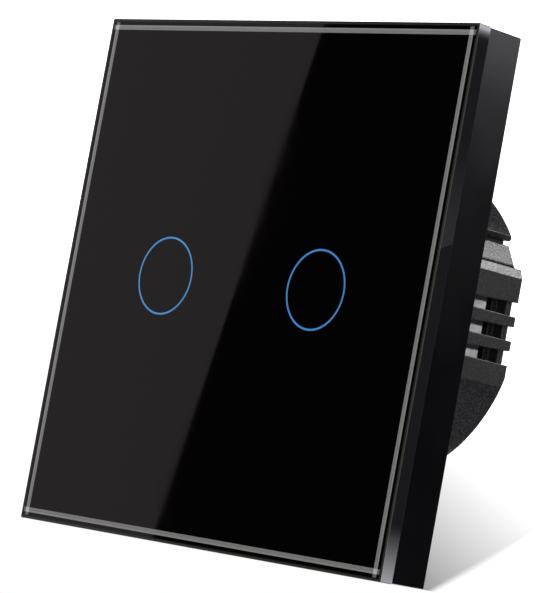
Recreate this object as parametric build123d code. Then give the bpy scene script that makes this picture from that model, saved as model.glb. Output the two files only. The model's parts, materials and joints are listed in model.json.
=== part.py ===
from build123d import *
import math
import os

# Touch light switch for a round flush box. Sizes are in millimetres.
# X runs along the panel to the right, Z is up, and Y runs from the room into the wall.
# The wall plane is at Y zero and the origin is the centre of the panel on that plane.

# Clearances and allowances that pieces share
flat_gap = 0.15
running_gap = 0.05
loose_gap = 0.2
stop_gap = 0.3
overrun = 1.0

# Glass panel, its inlaid marks, and the black print bonded behind it
panel_side = 86.0
glass_thickness = 2.55
glass_arris = 0.1
glass_corner_radius = 0.25
print_margin = 0.6
print_thickness = 0.3
border_line_width = 0.8
border_line_inset = 1.1
inlay_depth = 0.15

# Touch marks
touch_spacing_share = 0.41395
ring_radius = 6.35
ring_line_width = 0.3

# Frame that carries the glass
frame_depth = 7.1
frame_inset = 0.12
frame_wall = 1.6
frame_flange = 1.4
frame_corner_radius = 0.3
frame_rear_chamfer = 0.12
pry_notch_width = 12.0
pry_notch_depth = 1.4
stiffener_thickness = 1.0
stiffener_spacing = 18.0

# Spring clips of the frame
clip_width = 8.0
clip_thickness = 1.1
clip_spacing = 44.0
clip_bump = 0.25
clip_bump_length = 0.8
clip_end_gap = 0.5

# Steel mounting plate
plate_margin = 3.5
plate_thickness = 1.2
plate_corner_radius = 4.0
box_screw_spacing = 60.0
box_slot_width = 4.2
box_slot_length = 6.2
lightening_slot_width = 5.0
lightening_slot_length = 16.0

# Side arms bent back from the plate, seen through the vents
arm_thickness = 1.0
arm_height = 12.0
arm_centre_height = 0.3
arm_end_gap = 4.7
arm_bend_radius = 0.8
arm_window_height = 4.4
arm_window_length = 3.6
arm_window_start = 5.0

# Front carrier
carrier_margin = 7.0
carrier_wall = 1.5
carrier_floor = 1.6
carrier_corner_radius = 1.5
pocket_wall = 1.2
pocket_ledge = 1.6
screw_room_height = 8.4
screw_room_length = 9.0
catch_groove_depth = 0.3
catch_groove_length = 1.6
carrier_screw_inset = 4.6
carrier_screw_radius = 1.25
carrier_screw_head_radius = 2.4
carrier_screw_head_height = 1.4
carrier_boss_radius = 3.4

# Touch board and the light parts on it
touch_board_rim = 0.45
touch_board_margin = 14.0
touch_board_thickness = 1.2
touch_board_corner_radius = 0.5
guide_thickness = 2.4
guide_width = 1.6
led_length = 1.6
led_width = 0.8
led_height = 0.6
leds_per_ring = 4
touch_pad_radius = 4.9
touch_pad_chamfer = 0.3
chip_length = 4.9
chip_width = 3.9
chip_height = 1.2
chip_standoff = 0.15
lead_length = 1.0
lead_width = 0.42
lead_thickness = 0.22
leads_per_side = 4
lead_pitch = 1.27

# Pin header between the boards
pin_count = 5
pin_pitch = 2.54
pin_side = 0.64
header_body_height = 2.0
header_body_width = 2.5
socket_height = 5.6
header_edge_distance = 9.0

# Drive recesses of the cross-head screws, as shares of the head radius
drive_width_share = 0.3
drive_length_share = 1.3

# Rear housing, a round cup with two flat sides
housing_radius = 26.1
housing_centre_height = 0.65
side_flat_depth = 1.65
housing_depth = 29.4
housing_wall = 1.8
side_wall = 2.35
housing_rear_chamfer = 0.5
rear_panel_depth = 0.8
rear_panel_margin = 3.0

# Stepped shoulder above each flat side of the housing
lip_height = 16.3
lip_undercut = 0.75
throat_slot_depth = 1.3
throat_slot_height = 0.75
ramp_foot_height = 11.65
seam_step = 0.5
shoulder_drop = 0.15
shoulder_width = 1.25
bevel_width = 0.65
bevel_height = 1.55
seam_width = 0.2
seam_depth = 0.35
shoulder_wall = 0.95

# Vents and ribs on each side of the housing
vent_count = 3
vent_pitch = 4.0
vent_top_floor_height = 3.2
vent_front_height = 1.7
vent_rear_height = 2.35
vent_recess_depth = 1.3
vent_recess_start = 10.0
vent_window_start = 12.0
vent_post = 1.3

# Columns and long screws that hold the housing to the plate
column_angle = 44
column_edge_distance = 4.6
column_radius = 3.0
column_pin_radius = 2.1
long_screw_radius = 1.3
long_screw_head_radius = 2.5
long_screw_head_height = 1.6
long_screw_recess = 2.2

# Power board and the parts on it
power_board_depth_share = 0.27211
power_board_thickness = 1.6
power_board_edge_gap = 0.4
relay_width_share = 0.3831
relay_height_share = 0.6513
relay_length_share = 0.5238
relay_arm_gap = 1.3
relay_drop_share = 0.2835
case_round = 0.5
coil_half_width_share = 0.2299
coil_core_height_share = 0.4598
coil_core_length_share = 0.3741
coil_drop_share = 0.2452
coil_bobbin_flange = 1.0
coil_bobbin_rise = 1.4
mains_capacitor_width_share = 0.5747
mains_capacitor_height_share = 0.1992
mains_capacitor_length_share = 0.3741
mains_capacitor_low_share = 0.2682
storage_capacitor_radius_share = 0.1533
storage_capacitor_length_share = 0.4422
storage_capacitor_x_share = 0.1992
storage_capacitor_groove = 0.35
top_parts_height_share = 0.6897
fuse_radius_share = 0.0843
fuse_length_share = 0.3061
fuse_cap_length = 2.0
fuse_cap_rise = 0.25
fuse_x_share = 0.2069

# Terminal block with rising clamps
terminal_count = 3
terminal_pitch_share = 0.32567
terminal_drop_share = 0.5364
block_end_wall = 1.8
block_drop_share = 0.3065
block_floor = 1.2
block_roof = 1.2
block_rim_gap = 0.3
cage_width_share = 0.22989
cage_length_share = 0.19157
cage_floor = 1.2
cage_top = 1.6
cage_side = 0.8
cage_wire_space_share = 0.14966
cage_travel_share = 0.08844
bar_thickness = 0.8
bar_side_gap = 0.25
bar_end_support = 0.9
bar_leg_gap = 1.2
screw_radius = 1.75
screw_head_radius_share = 0.12069
screw_head_height = 1.6
screw_slot_width = 0.8
screw_slot_depth = 0.9
screw_tip_gap = 0.1
head_bore_depth_share = 0.09524
access_hole_radius_share = 0.11494
access_tube_wall = 0.9
access_rim_rise = 0.5
wire_entry_flare = 0.7
wire_entry_round = 0.5

# Sizes that follow the panel
touch_spacing = touch_spacing_share * panel_side
plate_side = panel_side - 2 * plate_margin
carrier_side = panel_side - 2 * carrier_margin
touch_board_height = carrier_side - 2 * touch_board_margin
header_height = touch_board_height / 2 - header_edge_distance

# Sizes inside the housing that follow its depth
arm_reach = housing_depth - arm_end_gap
power_board_rear = power_board_depth_share * housing_depth
relay_length = relay_length_share * housing_depth
coil_core_length = coil_core_length_share * housing_depth
mains_capacitor_length = mains_capacitor_length_share * housing_depth
storage_capacitor_length = storage_capacitor_length_share * housing_depth
fuse_length = fuse_length_share * housing_depth
cage_wire_space = cage_wire_space_share * housing_depth
cage_travel = cage_travel_share * housing_depth
head_bore_depth = head_bore_depth_share * housing_depth

# Sizes inside the housing that follow its radius
relay_width = relay_width_share * housing_radius
relay_height = relay_height_share * housing_radius
relay_low = -relay_drop_share * housing_radius
coil_half_width = coil_half_width_share * housing_radius
coil_core_height = coil_core_height_share * housing_radius
coil_low = -coil_drop_share * housing_radius
mains_capacitor_width = mains_capacitor_width_share * housing_radius
mains_capacitor_height = mains_capacitor_height_share * housing_radius
mains_capacitor_low = mains_capacitor_low_share * housing_radius
storage_capacitor_radius = storage_capacitor_radius_share * housing_radius
storage_capacitor_x = storage_capacitor_x_share * housing_radius
top_parts_height = top_parts_height_share * housing_radius
fuse_radius = fuse_radius_share * housing_radius
fuse_x = -fuse_x_share * housing_radius
terminal_pitch = terminal_pitch_share * housing_radius
terminal_height = -terminal_drop_share * housing_radius
block_high = -block_drop_share * housing_radius
cage_width = cage_width_share * housing_radius
cage_length = cage_length_share * housing_radius
screw_head_radius = screw_head_radius_share * housing_radius
access_hole_radius = access_hole_radius_share * housing_radius

# Places that follow from the sizes above, along Y
frame_front = -frame_depth
glass_front = frame_front - glass_thickness
print_rear = frame_front + print_thickness
plate_front = -plate_thickness
module_front = print_rear + flat_gap
touch_board_front = module_front + guide_thickness
touch_board_rear = touch_board_front + touch_board_thickness
carrier_floor_front = plate_front - carrier_floor
clip_end = plate_front - clip_end_gap
power_board_front = power_board_rear - power_board_thickness
socket_front = power_board_front - socket_height
cavity_end = housing_depth - rear_panel_depth - housing_wall
cage_front = power_board_rear + block_floor + loose_gap
wire_front = cage_front + cage_floor
bar_front = wire_front + cage_wire_space
bar_rear = bar_front + bar_thickness
cage_top_front = bar_rear + loose_gap
cage_rear = cage_top_front + cage_top
clamp_room_rear = cage_rear + cage_travel + stop_gap
head_seat = clamp_room_rear + block_roof
head_rear = head_seat + screw_head_height
block_rear = head_seat + head_bore_depth

# Places and sizes across the wall
print_side = panel_side - 2 * print_margin
touch_places = [-touch_spacing / 2, touch_spacing / 2]
guide_inner_radius = ring_radius - guide_width / 2
guide_outer_radius = ring_radius + guide_width / 2
touch_board_width = touch_spacing + 2 * (guide_outer_radius + touch_board_rim)
frame_side = panel_side - 2 * frame_inset
clip_inside = carrier_side / 2 + flat_gap + clip_bump
clip_places = [-clip_spacing / 2, clip_spacing / 2]
frame_opening = 2 * clip_inside
screw_room_end = carrier_side / 2 - carrier_wall
housing_half_width = housing_radius - side_flat_depth
cavity_radius = housing_radius - housing_wall
cavity_half_width = housing_half_width - side_wall
arm_outside = cavity_half_width - loose_gap
arm_inside = arm_outside - arm_thickness
column_distance = housing_radius - column_edge_distance
column_x = column_distance * math.cos(math.radians(column_angle))
column_z = housing_centre_height + column_distance * math.sin(math.radians(column_angle))
lip_half_width = math.sqrt(housing_radius**2 - (lip_height - housing_centre_height) ** 2)
throat_half_width = lip_half_width - lip_undercut
wire_entry_width = cage_width - 2 * cage_side
bar_width = wire_entry_width - 2 * bar_side_gap
wire_entry_middle = (wire_front + bar_front) / 2
terminal_places = [(i - (terminal_count - 1) / 2) * terminal_pitch for i in range(terminal_count)]
sides = [-1, 1]


# Shape helpers

def upright(outline, front, rear):
    """A prism of an outline drawn in X and Z, from one depth to another."""
    plane = Plane(origin=(0, rear, 0), x_dir=(1, 0, 0), z_dir=(0, -1, 0))
    return extrude(plane * outline, rear - front)


def disc(radius, front, rear, x=0, z=0):
    """A round bar along Y."""
    return upright(Pos(x, z) * Circle(radius), front, rear)


def block(x_span, y_span, z_span):
    """A box between two places on each axis."""
    spans = (x_span, y_span, z_span)
    centre = [(low + high) / 2 for low, high in spans]
    return Pos(*centre) * Box(*[high - low for low, high in spans])


def about(centre, width):
    """The span of a width about its centre."""
    return (centre - width / 2, centre + width / 2)


def mirrored(shape):
    """A shape and its mirror image across the middle of the panel."""
    return shape + mirror(shape, about=Plane.YZ)


def fused(shapes):
    """All the shapes of a list as one."""
    whole = shapes[0]
    for shape in shapes[1:]:
        whole = whole + shape
    return whole


def each_side(shape):
    """A shape drawn for the right side, turned to all four sides of the square."""
    return fused([Rot(0, 90 * turn, 0) * shape for turn in range(4)])


def cross_recess(head_radius, face, depth, x, z, outward):
    """The cut of a cross drive in a head whose face looks outward along Y."""
    width = drive_width_share * head_radius
    length = drive_length_share * head_radius
    span = (face - depth, face + overrun) if outward > 0 else (face - overrun, face + depth)
    upright_bar = block(about(x, width), span, about(z, length))
    level_bar = block(about(x, length), span, about(z, width))
    return upright_bar + level_bar


# Glass panel, inlaid marks and print

def border_strips():
    """The four straight silver strips in the face of the glass, which cross near the corners."""
    outside = panel_side / 2 - border_line_inset
    depth = (glass_front, glass_front + inlay_depth)
    strip = block((outside - border_line_width, outside), depth, about(0, print_side))
    return each_side(strip)


def touch_ring(x):
    """The frosted ring in the face of the glass that lights up at one touch mark."""
    rear = glass_front + inlay_depth
    outer = disc(ring_radius + ring_line_width / 2, glass_front, rear, x)
    inner = disc(ring_radius - ring_line_width / 2, glass_front, rear, x)
    return outer - inner


def glass_panel():
    outline = RectangleRounded(panel_side, panel_side, glass_corner_radius)
    slab = upright(outline, glass_front, frame_front)
    ends = slab.faces().filter_by(Axis.Y)
    slab = chamfer(ends.edges(), glass_arris)
    return slab - border_strips() - fused([touch_ring(x) for x in touch_places])


def back_print():
    """The black print behind the glass, with a clear ring behind each touch mark."""
    sheet = upright(Rectangle(print_side, print_side), frame_front, print_rear)
    for x in touch_places:
        outer = disc(guide_outer_radius, frame_front - overrun, print_rear + overrun, x)
        inner = disc(guide_inner_radius, frame_front - overrun, print_rear + overrun, x)
        sheet = sheet - (outer - inner)
    return sheet


# Frame behind the glass

def frame_clip(z):
    """A spring tongue with a bump, on the right side of the frame."""
    tongue = block((clip_inside, clip_inside + clip_thickness), (frame_front, clip_end), about(z, clip_width))
    depth = about(clip_end - clip_bump_length, clip_bump_length)
    bump = block((clip_inside - clip_bump, clip_inside + clip_bump), depth, about(z, clip_width))
    tip = bump.faces().sort_by(Axis.X)[0].edges().filter_by(Axis.Z)
    return tongue + chamfer(tip, clip_bump / 2)


def frame_stiffener(z):
    """A web between the flange and the outer wall, on the right side."""
    wall_inside = frame_side / 2 - frame_wall
    span = (clip_inside + clip_thickness, wall_inside + frame_wall / 2)
    return block(span, (frame_front, clip_end), about(z, stiffener_thickness))


def panel_frame():
    inside = frame_side - 2 * frame_wall
    frame = upright(RectangleRounded(frame_side, frame_side, frame_corner_radius), frame_front, 0)
    rear_edges = frame.faces().sort_by(Axis.Y)[-1].edges()
    frame = chamfer(rear_edges, frame_rear_chamfer)
    frame = frame - upright(Rectangle(inside, inside), frame_front + frame_flange, overrun)
    frame = frame - upright(Rectangle(frame_opening, frame_opening), frame_front - overrun, overrun)
    for z in (-stiffener_spacing / 2, stiffener_spacing / 2):
        frame = frame + each_side(frame_stiffener(z))
    for z in clip_places:
        frame = frame + each_side(frame_clip(z))
    frame = frame - upright(Rectangle(print_side, print_side), frame_front - overrun, print_rear)
    low_side = -frame_side / 2
    notch_span = (low_side - overrun, low_side + frame_wall + overrun)
    return frame - block(about(0, pry_notch_width), (-pry_notch_depth, overrun), notch_span)


# Mounting plate

def box_slots(along_z=False):
    """A pair of slots for the screws of the wall box."""
    slot = SlotOverall(box_slot_length, box_slot_width)
    slots = [Pos(side * box_screw_spacing / 2, 0) * slot for side in sides]
    pair = fused([upright(slot, plate_front - overrun, overrun) for slot in slots])
    return Rot(0, 90, 0) * pair if along_z else pair


def side_arm():
    """The right arm, with the window that the catch of the housing snaps into."""
    height = about(arm_centre_height, arm_height)
    arm = block((arm_inside, arm_outside), (plate_front, arm_reach), height)
    front_edge = arm.faces().sort_by(Axis.Y)[0].edges().sort_by(Axis.X)[0]
    arm = fillet(front_edge, arm_bend_radius)
    rear_corners = arm.faces().sort_by(Axis.Y)[-1].edges().filter_by(Axis.X)
    arm = chamfer(rear_corners, arm_thickness)
    window = block(
        (arm_inside - overrun, arm_outside + overrun),
        (arm_window_start, arm_window_start + arm_window_length),
        about(arm_centre_height, arm_window_height),
    )
    return arm - window


def carrier_screw_places():
    half = carrier_side / 2 - carrier_screw_inset
    return [(x * half, z * half) for x in sides for z in sides]


def mounting_plate():
    plate = upright(RectangleRounded(plate_side, plate_side, plate_corner_radius), plate_front, 0)
    plate = plate - upright(Circle(arm_inside), plate_front - overrun, overrun)
    lance = block((0, arm_inside), (plate_front - overrun, overrun), about(arm_centre_height, arm_height))
    plate = plate - mirrored(lance) + mirrored(side_arm())
    plate = plate - box_slots() - box_slots(along_z=True)
    for x, z in carrier_screw_places():
        plate = plate - disc(carrier_screw_radius + running_gap, plate_front - overrun, overrun, x, z)
        slot = Pos(x, z / 2) * Rot(0, 0, 90) * SlotOverall(lightening_slot_length, lightening_slot_width)
        plate = plate - upright(slot, plate_front - overrun, overrun)
    bore = disc(long_screw_radius + running_gap, plate_front - overrun, overrun, column_x, column_z)
    return plate - mirrored(bore)


# Front carrier and its screws

def pocket(margin=0):
    """The outline of the board pocket, widened by a margin."""
    extra = 2 * (flat_gap + margin)
    return Rectangle(touch_board_width + extra, touch_board_height + extra)


def front_carrier():
    inside = carrier_side - 2 * carrier_wall
    outline = RectangleRounded(carrier_side, carrier_side, carrier_corner_radius)
    tray = upright(outline, module_front, plate_front)
    tray = tray - upright(Rectangle(inside, inside), module_front - overrun, carrier_floor_front)
    tray = tray + upright(pocket(pocket_wall), module_front, plate_front)
    for x, z in carrier_screw_places():
        boss_front = carrier_floor_front - 2 * carrier_screw_head_height
        tray = tray + disc(carrier_boss_radius, boss_front, plate_front, x, z)
        tray = tray - disc(carrier_screw_radius + running_gap, boss_front - overrun, overrun, x, z)
        head_room = carrier_screw_head_radius + flat_gap
        tray = tray - disc(head_room, boss_front - overrun, carrier_floor_front, x, z)
    tray = tray - upright(pocket(), module_front - overrun, touch_board_rear)
    tray = tray - upright(pocket(-pocket_ledge), module_front - overrun, overrun)
    room = block(
        (screw_room_end - screw_room_length, screw_room_end),
        (module_front - overrun, overrun),
        about(0, screw_room_height),
    )
    tray = tray - each_side(room)
    half = carrier_side / 2
    groove_depth = about(clip_end - clip_bump_length, catch_groove_length)
    for z in clip_places:
        span = (half - catch_groove_depth, half + overrun)
        groove = block(span, groove_depth, about(z, clip_width + overrun))
        tray = tray - each_side(groove)
    return tray


def carrier_screws():
    """The four pan-head screws that hold the carrier on the plate."""
    screws = []
    head_front = carrier_floor_front - carrier_screw_head_height
    for x, z in carrier_screw_places():
        head = disc(carrier_screw_head_radius, head_front, carrier_floor_front, x, z)
        head = chamfer(head.faces().sort_by(Axis.Y)[0].edges(), carrier_screw_head_height / 3)
        shank = disc(carrier_screw_radius, carrier_floor_front, 0, x, z)
        drive = cross_recess(carrier_screw_head_radius, head_front, carrier_screw_head_height / 2, x, z, -1)
        screws.append(head + shank - drive)
    return Compound(children=screws)


# Touch board, light guides and sensors

def touch_board():
    outline = RectangleRounded(touch_board_width, touch_board_height, touch_board_corner_radius)
    return upright(outline, touch_board_front, touch_board_rear)


def led_places(x):
    """The place and turn of each lamp under one ring."""
    turns = [360 / leds_per_ring * (k + 1 / 2) for k in range(leds_per_ring)]
    places = []
    for turn in turns:
        angle = math.radians(turn)
        places.append((x + ring_radius * math.cos(angle), ring_radius * math.sin(angle), turn))
    return places


def led_block(place, gap=0):
    x, z, turn = place
    outline = Pos(x, z) * Rot(0, 0, turn) * Rectangle(led_width + 2 * gap, led_length + 2 * gap)
    return upright(outline, touch_board_front - led_height - gap, touch_board_front)


def ring_leds(x):
    return Compound(children=[led_block(place) for place in led_places(x)])


def light_guide(x):
    """The clear ring over the lamps, with a pocket for each lamp."""
    ring = disc(guide_outer_radius, module_front, touch_board_front, x)
    ring = ring - disc(guide_inner_radius, module_front - overrun, touch_board_front + overrun, x)
    for place in led_places(x):
        ring = ring - led_block(place, running_gap)
    return ring


def touch_pad(x):
    """The sensing pad that reaches from the board to the back of the glass."""
    pad = disc(touch_pad_radius, module_front, touch_board_front, x)
    return chamfer(pad.faces().sort_by(Axis.Y)[0].edges(), touch_pad_chamfer)


def light_shield():
    """The black spacer round both rings, which keeps their light apart."""
    shield = upright(Rectangle(touch_board_width, touch_board_height), module_front, touch_board_front)
    for x in touch_places:
        hole = disc(guide_outer_radius + flat_gap, module_front - overrun, touch_board_front + overrun, x)
        shield = shield - hole
    return shield


def touch_chip():
    """The touch controller behind the board, with its gull-wing leads."""
    low = touch_board_rear + chip_standoff
    chip = block(about(0, chip_length), (low, low + chip_height), about(0, chip_width))
    edge = chip_width / 2
    for k in range(leads_per_side):
        across = about((k - (leads_per_side - 1) / 2) * lead_pitch, lead_width)
        foot_depth = (touch_board_rear, touch_board_rear + lead_thickness)
        foot = block(across, foot_depth, (edge, edge + lead_length))
        riser = block(across, (touch_board_rear, low + chip_height / 2), (edge, edge + lead_thickness))
        lead = foot + riser
        chip = chip + lead + mirror(lead, about=Plane.XY)
    return chip


# Header between the boards

def pin_places():
    return [(k - (pin_count - 1) / 2) * pin_pitch for k in range(pin_count)]


def header_strip(front, rear):
    """The plain body of the header or of its socket."""
    return block(about(0, pin_count * pin_pitch), (front, rear), about(header_height, header_body_width))


def pin_header():
    strip = header_strip(touch_board_rear, touch_board_rear + header_body_height)
    pin_depth = (touch_board_rear, (socket_front + power_board_front) / 2)
    for x in pin_places():
        strip = strip + block(about(x, pin_side), pin_depth, about(header_height, pin_side))
    return strip


def header_socket():
    body = header_strip(socket_front, power_board_front)
    side = pin_side + 2 * running_gap
    for x in pin_places():
        hole_depth = (socket_front - overrun, power_board_front - pin_side)
        body = body - block(about(x, side), hole_depth, about(header_height, side))
    return body


# Rear housing

def housing_disc(radius):
    return Pos(0, housing_centre_height) * Circle(radius)


def shoulder_cut():
    """What is taken from the round outline to leave the stepped shoulder on the right side."""
    far = housing_radius + overrun
    throat_top = lip_height - lip_undercut
    throat_low = throat_top - throat_slot_height
    slot_inside = throat_half_width - throat_slot_depth
    shoulder_inside = housing_half_width - bevel_width - shoulder_width
    step_height = ramp_foot_height - seam_step
    shoulder_height = step_height - shoulder_drop
    bevel_foot = shoulder_height - bevel_height
    points = [
        (far, lip_height + far - lip_half_width),
        (throat_half_width, throat_top),
        (slot_inside, throat_top),
        (slot_inside, throat_low),
        (throat_half_width, throat_low),
        (shoulder_inside - seam_step, ramp_foot_height),
        (shoulder_inside, step_height),
        (housing_half_width - bevel_width, shoulder_height),
        (housing_half_width, bevel_foot),
        (far, bevel_foot),
    ]
    return make_face(Polyline(*points, close=True))


def housing_outline():
    outline = housing_disc(housing_radius) & Rectangle(2 * housing_half_width, 4 * housing_radius)
    cut = shoulder_cut()
    return outline - cut - mirror(cut, about=Plane.YZ)


def cavity_outline(margin=0):
    """The hollow of the housing, drawn in by a margin."""
    half = cavity_half_width - margin
    outline = housing_disc(cavity_radius - margin) & Rectangle(2 * half, 4 * housing_radius)
    inner = throat_half_width - throat_slot_depth - shoulder_wall - margin
    low = ramp_foot_height - bevel_height - margin
    high = lip_height + 2 * shoulder_wall + margin
    width = housing_radius - inner
    step = Pos(inner + width / 2, (low + high) / 2) * Rectangle(width, high - low)
    return outline - step - mirror(step, about=Plane.YZ)


def vent_cut(floor, x_span, y_span):
    """A cut whose roof rises towards the rear, as the moulded vents do."""
    start, end = y_span
    slope = (vent_rear_height - vent_front_height) / (housing_depth - vent_window_start)
    heights = [vent_front_height + slope * (y - vent_window_start) for y in (start, end)]
    points = [(start, floor), (end, floor), (end, floor + heights[1]), (start, floor + heights[0])]
    profile = Plane.YZ * make_face(Polyline(*points, close=True))
    return Pos(x_span[0], 0, 0) * extrude(profile, x_span[1] - x_span[0], dir=(1, 0, 0))


def vents():
    """The recesses between the ribs, and the windows in them, on the right side."""
    cuts = []
    recess_floor = housing_half_width - vent_recess_depth
    for k in range(vent_count):
        floor = vent_top_floor_height - k * vent_pitch
        outside = housing_half_width + overrun
        cuts.append(vent_cut(floor, (recess_floor, outside), (vent_recess_start, housing_depth + overrun)))
        window_depth = (vent_window_start, housing_depth - vent_post)
        cuts.append(vent_cut(floor, (cavity_half_width - overrun, housing_half_width), window_depth))
    return fused(cuts)


def seam():
    """The fine joint line along the side below the ramp."""
    shoulder_inside = housing_half_width - bevel_width - shoulder_width
    middle = Pos(shoulder_inside - seam_step / 2, ramp_foot_height - seam_step / 2)
    outline = middle * Rot(0, 0, 45) * Rectangle(2 * seam_depth, seam_width)
    return upright(outline, -overrun, housing_depth + overrun)


def columns():
    """The two columns that the long screws pass through, with a shoulder behind the power board."""
    end = housing_depth - rear_panel_depth
    thick = disc(column_radius, power_board_rear, end, column_x, column_z)
    thin = disc(column_pin_radius, 0, power_board_rear, column_x, column_z)
    return mirrored(thick + thin)


def column_bores():
    seat_front = housing_depth - long_screw_recess
    bore = disc(long_screw_radius + running_gap, -overrun, housing_depth + overrun, column_x, column_z)
    seat = disc(long_screw_head_radius + flat_gap, seat_front, housing_depth + overrun, column_x, column_z)
    return mirrored(bore + seat)


def catch():
    """The catch inside the right wall, which stands in the window of the arm."""
    length = arm_window_length - 2 * loose_gap
    front = arm_window_start + loose_gap
    tooth = block(
        (arm_inside + arm_thickness / 4, cavity_half_width + overrun),
        (front, front + length),
        about(arm_centre_height, arm_window_height - 2 * loose_gap),
    )
    leading = tooth.faces().sort_by(Axis.X)[0].edges().sort_by(Axis.Y)[0]
    return chamfer(leading, arm_thickness / 2)


def access_tubes():
    """The rims that guide a screwdriver to the terminal screws."""
    radius = access_hole_radius + access_tube_wall
    rear = housing_depth - rear_panel_depth + access_rim_rise
    return fused([disc(radius, block_rear, rear, x, terminal_height) for x in terminal_places])


def access_holes():
    depth = (block_rear - overrun, housing_depth + overrun)
    return fused([disc(access_hole_radius, *depth, x, terminal_height) for x in terminal_places])


def wire_entry_outline(widening=0):
    width = wire_entry_width + 2 * widening
    return RectangleRounded(width, cage_wire_space + 2 * widening, wire_entry_round)


def wire_entries():
    """The three square mouths under the housing, flared outside."""
    cuts = []
    for x in terminal_places:
        skin = housing_centre_height - math.sqrt(housing_radius**2 - x**2)
        place = (x, wire_entry_middle, skin - wire_entry_flare)
        outside = Plane(origin=place, x_dir=(1, 0, 0), z_dir=(0, 0, 1))
        mouth = extrude(outside * wire_entry_outline(), terminal_height - skin)
        wide = outside * wire_entry_outline(2 * wire_entry_flare)
        narrow = Pos(0, 0, 2 * wire_entry_flare) * (outside * wire_entry_outline())
        cuts.append(mouth + loft([wide.face(), narrow.face()]))
    return fused(cuts)


def rear_housing():
    whole = upright(housing_outline(), 0, housing_depth)
    rim = whole.faces().sort_by(Axis.Y)[-1].outer_wire().edges()
    shell = chamfer([edge for edge in rim if edge.geom_type == GeomType.CIRCLE], housing_rear_chamfer)
    rear_panel = offset(cavity_outline(), -rear_panel_margin)
    shell = shell - upright(rear_panel, housing_depth - rear_panel_depth, housing_depth + overrun)
    shell = shell - upright(cavity_outline(), -overrun, cavity_end)
    shell = shell + (columns() & whole) + access_tubes() + mirrored(catch())
    shell = shell - column_bores() - access_holes() - wire_entries()
    return shell - mirrored(vents()) - mirrored(seam())


def housing_screws():
    """The two long screws that hold the housing to the plate."""
    seat = housing_depth - long_screw_recess
    face = seat + long_screw_head_height
    screws = []
    for side in sides:
        place = (side * column_x, column_z)
        head = disc(long_screw_head_radius, seat, face, *place)
        head = chamfer(head.faces().sort_by(Axis.Y)[-1].edges(), long_screw_head_height / 3)
        shank = disc(long_screw_radius, plate_front, seat, *place)
        drive = cross_recess(long_screw_head_radius, face, long_screw_head_height / 2, *place, 1)
        screws.append(head + shank - drive)
    return Compound(children=screws)


# Power board and its parts

def power_board():
    half = arm_inside - power_board_edge_gap
    outline = cavity_outline(power_board_edge_gap) & Rectangle(2 * half, 4 * housing_radius)
    board = upright(outline, power_board_front, power_board_rear)
    depth = (power_board_front - overrun, power_board_rear + overrun)
    return board - mirrored(disc(column_pin_radius + flat_gap, *depth, column_x, column_z))


def board_part(x_span, length, z_span):
    """A moulded case that stands on the power board, rounded on its edges."""
    case = block(x_span, (power_board_rear, power_board_rear + length), z_span)
    edges = case.edges().filter_by(Axis.Y) + case.faces().sort_by(Axis.Y)[-1].edges()
    return fillet(edges, case_round)


def relay(side):
    centre = side * (arm_inside - relay_arm_gap - relay_width / 2)
    return board_part(about(centre, relay_width), relay_length, (relay_low, relay_low + relay_height))


def mains_capacitor():
    z_span = (mains_capacitor_low, mains_capacitor_low + mains_capacitor_height)
    return board_part(about(0, mains_capacitor_width), mains_capacitor_length, z_span)


def switching_coil():
    """The small transformer: a core round a wound bobbin."""
    middle = coil_low + coil_core_height / 2
    foot_rear = power_board_rear + coil_bobbin_flange
    rear = power_board_rear + coil_core_length
    wound_half = coil_half_width - coil_bobbin_rise
    full_height = about(middle, coil_core_height)
    core = block((-coil_half_width, coil_half_width), (foot_rear, rear), about(middle, coil_core_height / 2))
    wound = block((-wound_half, wound_half), (foot_rear, rear - coil_bobbin_flange), full_height)
    wound = fillet(wound.edges().filter_by(Axis.Y), coil_bobbin_rise)
    foot = block((-coil_half_width, coil_half_width), (power_board_rear, foot_rear), full_height)
    return core + wound + foot


def storage_capacitor():
    """A can with the groove that crimps its seal, near the board."""
    place = (storage_capacitor_x, top_parts_height)
    rear = power_board_rear + storage_capacitor_length
    can = disc(storage_capacitor_radius, power_board_rear, rear, *place)
    can = fillet(can.faces().sort_by(Axis.Y)[-1].edges(), case_round)
    start = power_board_rear + 4 * storage_capacitor_groove
    end = start + 2 * storage_capacitor_groove
    groove = disc(storage_capacitor_radius + overrun, start, end, *place)
    groove = groove - disc(storage_capacitor_radius - storage_capacitor_groove, start, end, *place)
    return can - groove


def fuse():
    """A glass fuse that stands on the board, with a cap at each end."""
    place = (fuse_x, top_parts_height)
    end = power_board_rear + fuse_length
    body = disc(fuse_radius, power_board_rear, end, *place)
    near = disc(fuse_radius + fuse_cap_rise, power_board_rear, power_board_rear + fuse_cap_length, *place)
    far = disc(fuse_radius + fuse_cap_rise, end - fuse_cap_length, end, *place)
    return body + near + far


# Terminals

def contact_bar(x, gap=0):
    """The brass bar above the wire, bent down to the board behind the clamp."""
    near = terminal_height - cage_length / 2 - loose_gap - bar_end_support
    far = terminal_height + cage_length / 2 + loose_gap + bar_leg_gap
    across = about(x, bar_width + 2 * gap)
    level = block(across, (bar_front - gap, bar_rear + gap), (near - gap, far + gap))
    leg = block(across, (power_board_rear, bar_rear + gap), (far - bar_thickness - gap, far + gap))
    return level + leg


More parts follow.
